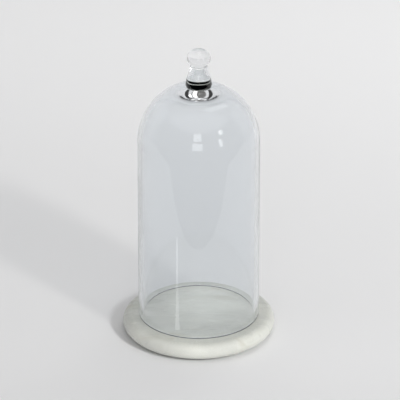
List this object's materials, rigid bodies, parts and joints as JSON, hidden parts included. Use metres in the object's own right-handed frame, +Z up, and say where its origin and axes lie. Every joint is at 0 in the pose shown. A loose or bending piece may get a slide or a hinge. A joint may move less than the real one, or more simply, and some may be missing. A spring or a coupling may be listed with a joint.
{
  "type": "bell jar dome",
  "caption": "Tall clear glass display dome with a solid ball knob, standing loose on a round marble base with soft pads underneath.",
  "frame": {"origin": "on the floor, under the axis of the base", "axes": "+Z up along the axis of the dome and the base"},
  "size_m": [0.178, 0.178, 0.3594],
  "materials": {
    "marble": "honed white marble with soft grey-green veins",
    "dome_glass": "clear blown glass, fire polished rim",
    "knob_glass": "clear solid glass",
    "pad": "matt, self-adhesive"
  },
  "bodies": {
    "base": {"marble_base": "marble", "base_pad_1": "pad", "base_pad_2": "pad", "base_pad_3": "pad", "base_pad_4": "pad"},
    "dome": {"glass_dome": "dome_glass", "glass_knob": "knob_glass"}
  },
  "joints": [
    {"name": "dome_lift", "type": "slide", "parent": "base", "child": "dome", "axis": [0, 0, 1], "range_m": [0, 0.31]}
  ]
}
